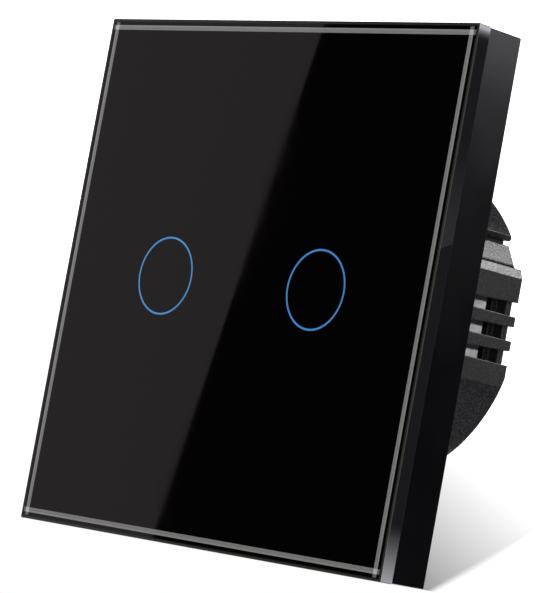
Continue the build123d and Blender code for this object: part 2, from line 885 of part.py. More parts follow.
def terminal_block():
    half = terminal_places[-1] + cage_width / 2 + loose_gap + block_end_wall
    height = block_high + housing_radius
    outline = Pos(0, block_high - height / 2) * Rectangle(2 * half, height)
    outline = outline & housing_disc(cavity_radius - block_rim_gap)
    body = upright(outline, power_board_rear, block_rear)
    for x in terminal_places:
        room = block(
            about(x, cage_width + 2 * loose_gap),
            (power_board_rear + block_floor, clamp_room_rear),
            about(terminal_height, cage_length + 2 * loose_gap),
        )
        length = (-housing_radius, terminal_height)
        tunnel = block(about(x, wire_entry_width), (wire_front, bar_front), length)
        shank = disc(screw_radius + flat_gap, clamp_room_rear - overrun, block_rear, x, terminal_height)
        head = disc(screw_head_radius + flat_gap, head_seat, block_rear + overrun, x, terminal_height)
        body = body - room - tunnel - shank - head - contact_bar(x, running_gap)
    return body


def clamp_cage(x):
    """The rising clamp, a square brass loop with a threaded top."""
    cage = block(about(x, cage_width), (cage_front, cage_rear), about(terminal_height, cage_length))
    cage = chamfer(cage.edges().filter_by(Axis.Z), cage_side / 2)
    window_height = about(terminal_height, cage_length + overrun)
    window = block(about(x, wire_entry_width), (wire_front, cage_top_front), window_height)
    bore_radius = screw_radius + running_gap
    thread = disc(bore_radius, cage_top_front - overrun, cage_rear + overrun, x, terminal_height)
    return cage - window - thread


def terminal_screw(x):
    """The captive clamp screw, with a slot and a cross in its head."""
    shank = disc(screw_radius, bar_rear + screw_tip_gap, head_seat, x, terminal_height)
    shank = chamfer(shank.faces().sort_by(Axis.Y)[0].edges(), screw_radius / 4)
    head = disc(screw_head_radius, head_seat, head_rear, x, terminal_height)
    head = chamfer(head.faces().sort_by(Axis.Y)[-1].edges(), screw_head_height / 4)
    slot_depth = (head_rear - screw_slot_depth, head_rear + overrun)
    slot_span = about(x, 2 * screw_head_radius + overrun)
    slot = block(slot_span, slot_depth, about(terminal_height, screw_slot_width))
    drive = cross_recess(screw_head_radius, head_rear, screw_slot_depth, x, terminal_height, 1)
    return shank + head - slot - drive


# Every node by name
nodes = {
    "glass_panel": glass_panel(),
    "border_strips": border_strips(),
    "back_print": back_print(),
    "panel_frame": panel_frame(),
    "mounting_plate": mounting_plate(),
    "front_carrier": front_carrier(),
    "carrier_screws": carrier_screws(),
    "touch_board": touch_board(),
    "light_shield": light_shield(),
    "touch_chip": touch_chip(),
    "pin_header": pin_header(),
    "header_socket": header_socket(),
    "rear_housing": rear_housing(),
    "housing_screws": housing_screws(),
    "power_board": power_board(),
    "switching_coil": switching_coil(),
    "mains_capacitor": mains_capacitor(),
    "storage_capacitor": storage_capacitor(),
    "fuse": fuse(),
    "terminal_block": terminal_block(),
}
for side, name in zip(sides, ("left", "right")):
    centre = side * touch_spacing / 2
    nodes["touch_ring_" + name] = touch_ring(centre)
    nodes["light_guide_" + name] = light_guide(centre)
    nodes["touch_pad_" + name] = touch_pad(centre)
    nodes["ring_leds_" + name] = ring_leds(centre)
    nodes["relay_" + name] = relay(side)
for number, centre in enumerate(terminal_places, start=1):
    nodes[f"contact_bar_{number}"] = contact_bar(centre)
    nodes[f"clamp_cage_{number}"] = clamp_cage(centre)
    nodes[f"terminal_screw_{number}"] = terminal_screw(centre)

os.makedirs("parts", exist_ok=True)
for name, shape in nodes.items():
    export_step(shape, f"parts/{name}.step")
print(len(nodes), "nodes written")
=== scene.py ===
# %% [markdown]
# # A touch light switch
# The real switch is a square of black-backed glass on a black plastic frame. Behind it sits a round
# plastic module that goes into a wall box. The solids come ready-made from the CAD model, in metres,
# and they hold every shape already. So this script only dresses them: it gives each one a finish, then
# sets the table, the camera, the cards that the gloss reflects, and the light.

import json
import math
import bpy
from mathutils import Matrix, Vector


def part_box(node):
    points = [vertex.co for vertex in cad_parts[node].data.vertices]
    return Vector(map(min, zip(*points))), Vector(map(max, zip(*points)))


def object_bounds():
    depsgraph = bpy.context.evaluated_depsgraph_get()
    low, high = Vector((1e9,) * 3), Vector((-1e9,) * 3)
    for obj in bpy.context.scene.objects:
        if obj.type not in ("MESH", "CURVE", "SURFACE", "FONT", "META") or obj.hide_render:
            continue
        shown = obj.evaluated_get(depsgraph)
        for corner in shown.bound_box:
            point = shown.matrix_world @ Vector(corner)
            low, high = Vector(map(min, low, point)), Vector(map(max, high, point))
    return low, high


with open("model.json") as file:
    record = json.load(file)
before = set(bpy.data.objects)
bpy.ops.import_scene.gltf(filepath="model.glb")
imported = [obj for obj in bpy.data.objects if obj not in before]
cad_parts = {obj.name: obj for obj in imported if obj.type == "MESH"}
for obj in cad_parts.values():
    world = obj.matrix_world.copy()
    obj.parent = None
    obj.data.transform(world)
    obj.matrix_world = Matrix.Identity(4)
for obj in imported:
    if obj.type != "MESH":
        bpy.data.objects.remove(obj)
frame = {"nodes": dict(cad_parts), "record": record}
nodes = frame["nodes"]
cad_low, cad_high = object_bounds()
mm = 0.001
print("nodes:", len(nodes), "box in mm:", [round(side / mm, 1) for side in cad_high - cad_low])

# %% [markdown]
# ## Shader sums
# A finish is a network of nodes. Wiring each node by hand hides the idea behind it, so one small class
# wraps a socket. Sums written on it, such as `1 - mask * 0.3`, add their Math nodes by themselves.


# %% A socket that can be written in sums
class Value:
    """A number in a network of nodes. A sum on it adds the Math node that works it out."""

    def __init__(self, network, socket):
        self.network = network
        self.socket = socket

    def math(self, operation, *others):
        return self.network.add("ShaderNodeMath", {"operation": operation}, [self, *others])

    def swapped(self, operation, other):
        return self.network.add("ShaderNodeMath", {"operation": operation}, [other, self])

    def __add__(self, other):
        return self.math("ADD", other)

    def __sub__(self, other):
        return self.math("SUBTRACT", other)

    def __mul__(self, other):
        return self.math("MULTIPLY", other)

    def __truediv__(self, other):
        return self.math("DIVIDE", other)

    def __gt__(self, other):
        return self.math("GREATER_THAN", other)

    def __lt__(self, other):
        return self.math("LESS_THAN", other)

    def __rsub__(self, other):
        return self.swapped("SUBTRACT", other)

    def __rtruediv__(self, other):
        return self.swapped("DIVIDE", other)

    def __abs__(self):
        return self.math("ABSOLUTE")

    __radd__ = __add__
    __rmul__ = __mul__

    def larger(self, other):
        return self.math("MAXIMUM", other)

    def smaller(self, other):
        return self.math("MINIMUM", other)

    def ramp(self, start, end, low=0.0, high=1.0):
        """Goes smoothly from low at start to high at end."""
        places = {"Value": self, "From Min": start, "From Max": end, "To Min": low, "To Max": high}
        return self.network.add("ShaderNodeMapRange", {"interpolation_type": "SMOOTHSTEP"}, places)

    def spread(self, low=0.0, high=1.0):
        """Noise mostly lies between 0.3 and 0.7. This spreads it from low to high."""
        return self.ramp(0.3, 0.7, low, high)

    def rise(self, start, end, power, most=1.0):
        """Goes from 0 at start to 1 at end, slowly at first, and on to no more than most."""
        share = (self - start) / (end - start)
        return share.larger(0.0).smaller(most).math("POWER", power)


# %% A network that grows node by node
class Network:
    """The nodes of a finish or of the world."""

    def __init__(self, tree):
        self.tree = tree

    def plug(self, socket, value):
        """Puts a link, a number or a colour into a socket."""
        if isinstance(value, Value):
            self.tree.links.new(value.socket, socket)
        elif isinstance(value, tuple) and len(value) == 3 and socket.type == "RGBA":
            socket.default_value = (*value, 1)
        else:
            socket.default_value = value

    def add(self, kind, settings, sockets, output=0):
        """Adds any node: its settings first, then the values or links of its sockets."""
        node = self.tree.nodes.new(kind)
        for name, setting in settings.items():
            setattr(node, name, setting)
        pairs = sockets.items() if isinstance(sockets, dict) else enumerate(sockets)
        for key, value in pairs:
            self.plug(node.inputs[key], value)
        return Value(self, node.outputs[output])


# %% A finish round one shader
class Finish(Network):
    """A material with one Principled shader. Sizes and depths are in millimetres."""

    def __init__(self, name, colour, **constants):
        self.material = bpy.data.materials.new(name)
        self.material.use_nodes = True
        super().__init__(self.material.node_tree)
        self.shader = self.tree.nodes["Principled BSDF"]
        self.set("Base Color", colour)
        for socket, value in constants.items():
            self.set(socket.replace("_", " "), value)

    def set(self, socket, value):
        self.plug(self.shader.inputs[socket], value)

    def spot(self):
        """The place on the object, in metres."""
        return self.add("ShaderNodeTexCoord", {}, {}, "Object")

    def axes(self, letters="XYZ"):
        """The place on the object as one number for each axis named, in millimetres."""
        sockets = {"Vector": self.spot(), "Scale": 1 / mm}
        spot = self.add("ShaderNodeVectorMath", {"operation": "SCALE"}, sockets)
        return [self.add("ShaderNodeSeparateXYZ", {}, [spot], letter) for letter in letters]

    def noise(self, size, detail=2.0, roughness=0.5, stretch=(1, 1, 1)):
        """Cloudy noise from 0 to 1, with features about as large as the size."""
        spot = self.add("ShaderNodeVectorMath", {"operation": "MULTIPLY"}, [self.spot(), stretch])
        sockets = {"Vector": spot, "Scale": 1 / (size * mm), "Detail": detail, "Roughness": roughness}
        return self.add("ShaderNodeTexNoise", {}, sockets)

    def cells(self, size):
        """Distance to scattered points, with cells about as large as the size."""
        sockets = {"Vector": self.spot(), "Scale": 1 / (size * mm)}
        return self.add("ShaderNodeTexVoronoi", {}, sockets)

    def mix(self, share, under, over):
        """A colour between two others."""
        sockets = {0: share, 6: under, 7: over}
        return self.add("ShaderNodeMix", {"data_type": "RGBA"}, sockets, 2)

    def edges(self, radius):
        """A normal that rounds the edges by a radius."""
        return self.add("ShaderNodeBevel", {"samples": 6}, {"Radius": radius * mm})

    def bump(self, height, depth, under):
        """Sets the normal from a height so deep, on top of the normal under it."""
        sockets = {"Height": height, "Distance": depth * mm, "Strength": 1.0, "Normal": under}
        self.set("Normal", self.add("ShaderNodeBump", {}, sockets))


# %% [markdown]
# ## Black glass with a printed back
# The panel is clear glass with black print bonded behind it. Seen from outside it is one deep black, so
# the solid gets a black base and a sharp, clean gloss. A real transparent sheet over a print would look
# the same and render slower. Near its rim the print stops, and a thin olive margin shows. The ground
# edge all round is a greyer black. Just above the middle of its height a painted reflection, a lighter
# grey, starts on a slant and fades upwards, and both ends carry a painted silver highlight. Faint wipe
# marks in the roughness keep the gloss from looking like paint.

# %% Places on the glass, in millimetres, and how strong its painted highlights are
panel_half = cad_high.x / mm
glass_front_y = cad_low.y / mm
print_edge, print_fade = panel_half - 0.6, 0.3
bare_top = panel_half - 0.2
# Painted highlights: where they start on the upright edges and how bright they get.
low_highlight_start, top_highlight_start = -34.0, 40.0
low_highlight_level, top_highlight_level = 0.8, 2.9
# Painted reflection on the edge: the height where it starts, its slant, and where it fades out.
reflection_foot, reflection_slant, reflection_fade = 8.0, 0.5, (9.0, 26.0)
slack = 0.05
print("glass half width", round(panel_half, 2), "mm, print ends at", round(print_edge, 2), "mm")


# %% Glass finish
def glass_finish():
    """Black in front, olive at the margin, and a ground edge with a painted reflection and two painted
    highlights.
    """
    # The silver is the colour of the painted highlights, and the lighter edge grey is that of the
    # painted reflection.
    black, olive, highlight_silver = (0.0012, 0.0008, 0.0010), (0.026, 0.0242, 0.0190), (0.82, 0.80, 0.85)
    dark_edge, reflection_grey = (0.019, 0.0176, 0.0205), (0.048, 0.045, 0.050)
    glass = Finish("black_glass", black, Roughness=0.03, IOR=1.5)
    x, y, z = glass.axes()
    from_centre = abs(x).larger(abs(z))
    front = y < glass_front_y + slack
    margin = from_centre.ramp(print_edge, print_edge + print_fade) * front * (1 - (z > bare_top))
    edge = (from_centre > panel_half - slack) * (1 - front)
    upright_edge = edge * (abs(x) > panel_half - slack)
    # Painted highlight: the upright edges turn silver towards their low and top ends.
    painted_low_highlight = z.rise(low_highlight_start, -panel_half, power=1.6) * low_highlight_level
    painted_top_highlight = z.rise(top_highlight_start, panel_half, power=4.0) * top_highlight_level
    painted_light = painted_low_highlight.larger(painted_top_highlight).smaller(1.0) * upright_edge
    # Painted reflection: a lighter grey on the edge above a slanted line, fading upwards.
    above_slant = z > reflection_foot + (y - glass_front_y) * reflection_slant
    painted_reflection = (1 - z.ramp(*reflection_fade)) * above_slant
    face = glass.mix(margin, black, olive)
    body = glass.mix(edge, face, glass.mix(painted_reflection, dark_edge, reflection_grey))
    glass.set("Base Color", glass.mix(painted_light, body, highlight_silver))
    smears = glass.noise(9.0, detail=4.0, stretch=(1, 1, 0.4))
    wiped = smears.ramp(0.35, 0.75, low=0.02, high=0.05)
    glass.set("Roughness", wiped + margin * 0.15 + edge * 0.12)
    glass.set("Normal", glass.edges(0.06))
    return glass.material


finishes = {"black_glass": glass_finish()}
print("finish made:", *finishes)

# %% [markdown]
# ## Silver lines and lit rings
# The border lines are thin satin metal inlaid in the glass, with a fine groove along the middle. They
# are a shade brighter towards the rim, lighter still where two of them cross, and faint past the
# crossing. The rings are frosted lines with blue lamps behind them, so they glow. Emission does that
# without a lamp of its own, and each ring is a touch paler in patches. The photograph shows the two
# rings in slightly different blues, so each gets its own.

# %% Places on the lines and colours of the rings
line_outside = panel_half - 1.1
line_inside = line_outside - 0.8
line_middle, groove_half_width = (line_inside + line_outside) / 2, 0.07
line_shades = (0.21, 0.27)
groove_loss, crossing_gain, past_loss = 0.25, 0.25, 0.5
silver_tint = (1.0, 0.99, 0.985)
ring_colours = {"left": (0.075, 0.35, 0.86), "right": (0.028, 0.31, 0.86)}
ring_power = 0.54
milk_share, milk_level, milkiest_patch = 0.25, 0.9, 0.12
print("lines from", round(line_inside, 2), "to", round(line_outside, 2), "mm off the middle")


# %% Line and ring finishes
def line_finish():
    line = Finish(
        "silver_line", (0.19, 0.19, 0.192), Metallic=0.25, IOR=1.5, Coat_Weight=0.6, Coat_Roughness=0.03
    )
    x, z = line.axes("XZ")
    outward, inward = abs(x).larger(abs(z)), abs(x).smaller(abs(z))
    brushed = line.noise(0.5, detail=3.0)
    shade = outward.ramp(line_inside, line_outside, *line_shades) + (brushed - 0.5) * 0.03
    groove = abs(outward - line_middle) < groove_half_width
    crossing = (inward > line_inside) * (outward < line_outside)
    past = outward > line_outside
    shade = shade * (1 - groove * groove_loss) + crossing * crossing_gain
    shade = shade * (1 - past * past_loss)
    tinted = [shade * part for part in silver_tint]
    line.set("Base Color", line.add("ShaderNodeCombineColor", {}, tinted))
    line.set("Roughness", brushed.spread(0.3, 0.45))
    return line.material


def ring_finish(name, colour):
    ring = Finish(name, (0.02, 0.06, 0.10), Roughness=0.25, IOR=1.5, Emission_Strength=ring_power)
    patches = ring.noise(2.2, detail=1.0)
    milky = tuple((1 - milk_share) * part + milk_share * milk_level for part in colour)
    ring.set("Emission Color", ring.mix(patches.spread(0.0, milkiest_patch), colour, milky))
    return ring.material


finishes["silver_line"] = line_finish()
ring_finishes = {side: ring_finish("lit_ring_" + side, ring_colours[side]) for side in ring_colours}
print("rings lit:", list(ring_finishes))

# %% [markdown]
# ## Moulded plastics
# The frame is smooth black plastic with a satin skin. The module's housing is spark-textured: the mould
# is eroded by sparks, which leaves a fine even grain that looks matt and slightly speckled. Grain this
# small would cost millions of faces as geometry, so a bump makes it, from pits of noise and small
# cells. The same pits darken the colour, and the specks are a second, finer noise.


# %% Plastic finishes
def frame_finish():
    dark, light = (0.0055, 0.0048, 0.0060), (0.0073, 0.0065, 0.0078)
    plastic = Finish("frame_plastic", (0.003, 0.003, 0.0035), Roughness=0.22, IOR=1.48)
    grain = plastic.noise(0.12)
    flow = plastic.noise(14.0)
    plastic.set("Roughness", flow.spread(0.17, 0.21) + (grain - 0.5) * 0.04)
    plastic.set("Base Color", plastic.mix(flow.spread(), dark, light))
    plastic.bump(grain, 0.003, plastic.edges(0.05))
    return plastic.material


def housing_finish():
    dark, light, speck = (0.013, 0.013, 0.014), (0.054, 0.054, 0.060), (0.068, 0.068, 0.073)
    plastic = Finish("housing_plastic", (0.025, 0.025, 0.027), Roughness=0.38, IOR=1.5)
    pits = plastic.noise(0.36, detail=3.0, roughness=0.7)
    grains = plastic.cells(0.42)
    cloud = plastic.noise(7.0, detail=3.0)
    specks = plastic.noise(0.30, detail=1.0)
    shade = pits.ramp(0.38, 0.70, low=0.15, high=0.6) + cloud.ramp(0.35, 0.65, high=0.12)
    skin = plastic.mix(shade, dark, light)
    plastic.set("Base Color", plastic.mix(specks.ramp(0.57, 0.68), skin, speck))
    plastic.set("Roughness", pits.spread(0.20, 0.32))
    plastic.bump(pits * 0.6 + (1 - grains) * 0.4, 0.026, plastic.edges(0.28))
    return plastic.material


def black_part_finish():
    dark, light = (0.018, 0.018, 0.020), (0.030, 0.030, 0.032)
    plastic = Finish("black_part", (0.022, 0.022, 0.024), Roughness=0.42, IOR=1.5)
    grain = plastic.noise(0.16)
    cloud = plastic.noise(4.0)
    plastic.set("Base Color", plastic.mix(cloud, dark, light))
    plastic.set("Roughness", grain.spread(0.36, 0.50))
    plastic.bump(grain, 0.010, plastic.edges(0.12))
    return plastic.material


finishes["frame_plastic"] = frame_finish()
finishes["housing_plastic"] = housing_finish()
finishes["black_part"] = black_part_finish()
print("finishes so far:", list(finishes))

# %% [markdown]
# ## Metals
# Zinc-plated steel has a bluish-grey bloom with faint spangles, brass is warm and dulls in patches, and
# machined screws show fine turning marks. All three are metallic shaders. What changes over the surface
# is the roughness and a little of the colour, because that is where plain metal looks fake.


# %% Metal finishes
def metal_finish(name, light, dark, smooth, rough, mark_size, spangle_size):
    metal = Finish(name, light, Metallic=1.0, Roughness=smooth)
    cloud = metal.noise(spangle_size, detail=4.0)
    marks = metal.noise(mark_size, stretch=(1, 0.15, 1))
    metal.set("Base Color", metal.mix(cloud.ramp(0.3, 0.75), light, dark))
    metal.set("Roughness", cloud.spread(smooth, rough) + (marks - 0.5) * 0.1)
    metal.bump(marks, 0.004, metal.edges(0.08))
    return metal.material


for name, light, dark, smooth, rough, mark_size, spangle_size in [
    ("zinc_steel", (0.65, 0.66, 0.68), (0.57, 0.58, 0.60), 0.33, 0.40, 0.3, 3.0),
    ("steel_screw", (0.70, 0.69, 0.65), (0.62, 0.60, 0.55), 0.22, 0.30, 0.15, 1.5),
    ("brass", (0.78, 0.58, 0.26), (0.60, 0.41, 0.17), 0.20, 0.38, 0.2, 2.0),
]:
    finishes[name] = metal_finish(name, light, dark, smooth, rough, mark_size, spangle_size)
print("finishes so far:", len(finishes))

# %% [markdown]
# ## Boards and their parts
# A circuit board is glass cloth under green lacquer, with copper tracks that show as lighter lines. The
# tracks here are the crests of two waves that noise bends and cuts, so that they turn and break. Cases,
# cans and pads each get their own base and grain.


# %% Board finish
track_rate = 0.8  # radians of wave for each millimetre
bare_below = 0.45  # no tracks where the lane noise is lower


def board_finish():
    dark_green, green, copper_green = (0.010, 0.105, 0.045), (0.016, 0.150, 0.065), (0.045, 0.26, 0.10)
    board = Finish("board", (0.02, 0.16, 0.07), Roughness=0.3, IOR=1.5, Coat_Roughness=0.08)
    x, z = board.axes("XZ")
    weave = board.noise(0.25, detail=1.0)
    lane = board.noise(6.0, detail=0.0)
    upright_tracks = abs((x * track_rate + lane * 9.0).math("SINE")) > 0.93
    level_tracks = abs((z * track_rate + lane * 7.0).math("SINE")) > 0.95
    copper = upright_tracks.larger(level_tracks) * (lane > bare_below)
    lacquer = board.mix(weave, dark_green, green)
    board.set("Base Color", board.mix(copper, lacquer, copper_green))
    board.set("Coat Weight", 0.3 + copper * 0.2)
    board.bump(copper + weave * 0.15, 0.03, board.edges(0.08))
    return board.material


finishes["board"] = board_finish()
print("board finish made")


# %% Case finishes
def case_finish(name, light, dark, rough, grain_size, coat):
    case = Finish(name, light, Roughness=rough, IOR=1.5, Coat_Weight=coat, Coat_Roughness=0.1)
    cloud = case.noise(5.0, detail=3.0)
    grain = case.noise(grain_size)
    case.set("Base Color", case.mix(cloud, light, dark))
    case.set("Roughness", grain.spread(rough - 0.05, rough + 0.08))
    case.bump(grain, 0.012, case.edges(0.15))
    return case.material


for name, light, dark, rough, grain_size, coat in [
    ("black_print", (0.010, 0.010, 0.011), (0.016, 0.016, 0.017), 0.55, 0.2, 0.0),
    ("sensor_pad", (0.055, 0.055, 0.060), (0.030, 0.030, 0.033), 0.85, 0.5, 0.0),
    ("led_body", (0.86, 0.86, 0.80), (0.80, 0.78, 0.62), 0.25, 0.3, 0.4),
    ("relay_case", (0.040, 0.170, 0.360), (0.030, 0.130, 0.300), 0.32, 0.2, 0.2),
    ("capacitor_film", (0.60, 0.45, 0.09), (0.50, 0.36, 0.06), 0.30, 0.2, 0.3),
    ("capacitor_can", (0.06, 0.065, 0.085), (0.04, 0.042, 0.06), 0.28, 0.3, 0.5),
]:
    finishes[name] = case_finish(name, light, dark, rough, grain_size, coat)
print("finishes so far:", len(finishes))

# %% [markdown]
# ## Light guides, fuse and coil
# The light guides are clear moulded plastic with a little frost. The fuse is a glass tube between two
# metal caps, and the coil shows a dark ferrite core between two ends of amber tape, over a black
# foot. Each of these is one solid, so masks worked out from its place tell its materials apart.

# %% Places on the fuse and the coil, in millimetres
fuse_low, fuse_high = [corner.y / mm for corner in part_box("fuse")]
fuse_cap = 2.0
coil_low, coil_high = [corner.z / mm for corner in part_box("switching_coil")]
coil_middle, core_reach = (coil_low + coil_high) / 2, (coil_high - coil_low) / 4
coil_foot_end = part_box("switching_coil")[0].y / mm + 1.0
turn_rate = 9.0  # radians of wave for each millimetre
print("fuse", round(fuse_high - fuse_low, 1), "mm long, core", round(2 * core_reach, 1), "mm tall")


# %% Guide, fuse and coil finishes
def clear_finish():
    clear = Finish(
        "clear_guide", (0.86, 0.90, 0.94), Roughness=0.12, IOR=1.49, Transmission_Weight=0.85
    )
    frost = clear.noise(0.3)
    clear.set("Roughness", frost.spread(0.08, 0.22))
    return clear.material


def fuse_finish():
    tube_colour, cap_colour = (0.70, 0.74, 0.72), (0.66, 0.65, 0.62)
    fuse = Finish("fuse_glass", (0.8, 0.82, 0.8), Roughness=0.1, IOR=1.5)
    y = fuse.axes("Y")[0]
    caps = (y < fuse_low + fuse_cap).larger(y > fuse_high - fuse_cap)
    dull = fuse.noise(0.8, detail=3.0)
    fuse.set("Base Color", fuse.mix(caps, tube_colour, cap_colour))
    fuse.set("Metallic", caps)
    fuse.set("Alpha", 0.35 + caps * 0.65)
    fuse.set("Roughness", 0.06 + caps * dull.spread(0.15, 0.3))
    return fuse.material


def coil_finish():
    dark_tape, amber_tape, foot_colour = (0.42, 0.27, 0.04), (0.62, 0.42, 0.08), (0.02, 0.02, 0.022)
    dark_core, light_core = (0.035, 0.033, 0.033), (0.065, 0.062, 0.060)
    coil = Finish("coil_wire", (0.65, 0.5, 0.18), Roughness=0.4, IOR=1.5)
    y, z = coil.axes("YZ")
    foot = y < coil_foot_end
    core = (abs(z - coil_middle) < core_reach) * (1 - foot)
    turns = (y * turn_rate).math("SINE")
    grain = coil.noise(0.2, detail=3.0)
    tape = coil.mix(turns.ramp(-1, 1), dark_tape, amber_tape)
    ferrite = coil.mix(grain, dark_core, light_core)
    coil.set("Base Color", coil.mix(foot, coil.mix(core, tape, ferrite), foot_colour))
    coil.set("Roughness", 0.35 + core * 0.3)
    coil.bump(turns * (1 - core) + grain * 0.3, 0.03, coil.edges(0.1))
    return coil.material


finishes["clear_guide"] = clear_finish()
finishes["fuse_glass"] = fuse_finish()
finishes["coil_wire"] = coil_finish()
print("finishes in all:", len(finishes) + len(ring_finishes))

# %% [markdown]
# ## Putting the finishes on
# The record says which finish each solid takes. Each object keeps its mesh, and only the material in
# its slots changes. A lit ring takes the blue of its own side.

# %% Dress the solids
for part in frame["record"]["subparts"]:
    name, slot = part["node"], part["material_slot"]
    side = name.rsplit("_", 1)[-1]
    finish = ring_finishes[side] if slot == "lit_ring" else finishes[slot]
    for holder in nodes[name].material_slots:
        holder.material = finish
bpy.ops.object.select_all(action="DESELECT")

# %% [markdown]
# ## The table
# The switch leans back on a white table: it stands on the lower edge of its frame and on the rim of the
# round housing behind. The frame is kept upright here, so the table is the plane that tilts. It is
# seen from above only, so that it doesn't stand in the way of a look from behind. To the camera it also
# glows, faintly at the switch's foot and more with the distance from it, up to white. That glow is
# painted shade: with the lamp's soft shadow it makes the wedge of grey that fades out behind the
# switch.

# %% Table plane
table_size = 900 * mm
table_gap = 0.05 * mm
heel_inset = 0.5 * mm
to_right = Vector((1, 0, 0))
foot = Vector((0, 0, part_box("panel_frame")[0].z))
heel_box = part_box("rear_housing")
heel = Vector((0, heel_box[1].y - heel_inset, heel_box[0].z))
lean = (heel - foot).normalized()
table_normal = to_right.cross(lean)
table_middle = foot + lean * table_size / 2 - table_normal * table_gap
table_turn = Matrix((to_right, lean, table_normal)).transposed().to_4x4()
bpy.ops.mesh.primitive_plane_add(size=table_size)
table = bpy.context.object
table.name = "table"
table.matrix_world = Matrix.Translation(table_middle) @ table_turn
bpy.ops.object.transform_apply(location=True, rotation=True, scale=True)
table.visible_glossy = False
table.visible_diffuse = False
lean_angle = math.degrees(math.atan2(lean.z, lean.y))
print("the switch leans back by", round(lean_angle, 1), "degrees")

# %% Table finish
# Painted shade: the table's glow to the camera rises from its foot to the right and behind, to fade the
# wedge of shadow.
painted_fade_per_mm_right, painted_fade_per_mm_behind, painted_fade_at_foot = 0.0128, 0.0261, -0.26
darkest_painted_shade = 0.1


def table_finish():
    white = Finish("table_white", (0.12, 0.12, 0.12), Roughness=0.9, Emission_Strength=1.0)
    x, y, z = white.axes()
    from_foot = y * lean.y + (z - foot.z / mm) * lean.z
    # Painted shade: dim at the switch's foot, brighter further off, up to white.
    painted_light = x * painted_fade_per_mm_right + from_foot * painted_fade_per_mm_behind + painted_fade_at_foot
    painted_light = painted_light.larger(darkest_painted_shade).smaller(1.0)
    seen = white.add("ShaderNodeLightPath", {}, {}, "Is Camera Ray")
    white.set("Emission Color", white.add("ShaderNodeCombineColor", {}, [seen * painted_light] * 3))
    below = white.add("ShaderNodeNewGeometry", {}, {}, "Backfacing")
    clear = white.add("ShaderNodeBsdfTransparent", {}, {})
    opaque = Value(white, white.shader.outputs[0])
    either = white.add("ShaderNodeMixShader", {}, [below, opaque, clear])
    white.plug(white.tree.nodes["Material Output"].inputs[0], either)
    return white.material


table.data.materials.append(table_finish())
print("table glow is full", round((1 - painted_fade_at_foot) / painted_fade_per_mm_behind), "mm behind the foot")

# %% [markdown]
# ## Camera
# The camera stands where the photograph was taken from: well to the right of the switch and a little
# below its middle, rolled because the switch leans. A long lens from half a metre away gives edges
# that run nearly parallel. It comes before the cards, because they stand where the gloss sends the
# camera's line of sight.

# %% Camera
picture_height = 593
focal_pixels = 3397.1
azimuth, elevation, roll = (math.radians(angle) for angle in (46.90, -4.467, 10.338))
camera_distance = 549.7 * mm
side_shift, camera_rise = -0.13 * mm, -0.49 * mm
back = Vector((
    math.sin(azimuth) * math.cos(elevation),
    -math.cos(azimuth) * math.cos(elevation),
    math.sin(elevation),
))
level_right = Vector((0, 0, 1)).cross(back).normalized()
level_up = back.cross(level_right)
camera_place = back * camera_distance + level_right * side_shift + level_up * camera_rise
tilted_right = level_right * math.cos(roll) + level_up * math.sin(roll)
tilted_up = level_up * math.cos(roll) - level_right * math.sin(roll)
camera_turn = Matrix((tilted_right, tilted_up, back)).transposed().to_4x4()
camera_data = bpy.data.cameras.new("camera")
camera_data.sensor_width = 36
camera_data.lens = focal_pixels / picture_height * camera_data.sensor_width
camera_data.clip_start, camera_data.clip_end = 0.01, 20
camera = bpy.data.objects.new("camera", camera_data)
camera.matrix_world = Matrix.Translation(camera_place) @ camera_turn
bpy.context.scene.collection.objects.link(camera)
bpy.context.scene.camera = camera
print("camera at", [round(part / mm, 1) for part in camera_place], "mm")
print("lens", round(camera_data.lens, 1), "mm")

# %% [markdown]
# ## Cards for the reflections
# Black gloss shows only what it reflects, so six flat cards stand round the switch. They are seen in
# reflections only and cast no shadow. In the photograph one side of the glass mirrors a dark room and
# the other a dim grey card whose straight edge runs slantwise up the glass. So a black card and a grey
# card in front of it stand to the left. The side card, behind to the right, is black below and bright
# towards its top, and its glow falls on the frame only. Three more black cards keep the white room
# out of what faces them: the low card for the underside of the round housing, the top card for the
# bevel along the glass's top edge, and the shoulder card for the housing's upper round.


# %% Card maker
def card(name, corners, colour=(0, 0, 0), strength=0.0):
    """A flat card through four corners, seen only in reflections, and its finish."""
    bpy.ops.object.select_all(action="DESELECT")
    bpy.ops.mesh.primitive_plane_add(size=1)
    plane = bpy.context.object
    plane.name = name
    for vertex, corner in zip(plane.data.vertices, corners):
        vertex.co = corner
    paint = Finish(name, (0, 0, 0), Roughness=1.0, Emission_Strength=strength)
    paint.set("Specular IOR Level", 0.0)
    paint.set("Emission Color", colour)
    plane.data.materials.append(paint.material)
    plane.visible_camera = False
    plane.visible_diffuse = False
    plane.visible_shadow = False
    plane.visible_transmission = False
    print("card made:", name)
    return plane, paint


def behind_glass(x, z, distance):
    """Where the glass at this place sends the camera's sight, on a plane that far from the origin."""
    front = cad_low.y
    eye = Vector((camera_place.x, 2 * front - camera_place.y, camera_place.z))
    sight = Vector((x * mm, front, z * mm)) - eye
    facing = Vector((-back.x, back.y, -back.z))
    return eye + sight * ((distance - facing.dot(eye)) / facing.dot(sight))


def patch(middle, across, up, across_ends, up_ends):
    """The corners of a flat patch: a point, two directions, and how far it goes along each."""
    middle, across, up = Vector(middle) * mm, Vector(across) * mm, Vector(up) * mm
    return [middle + across * a + up * u for u in up_ends for a in across_ends]


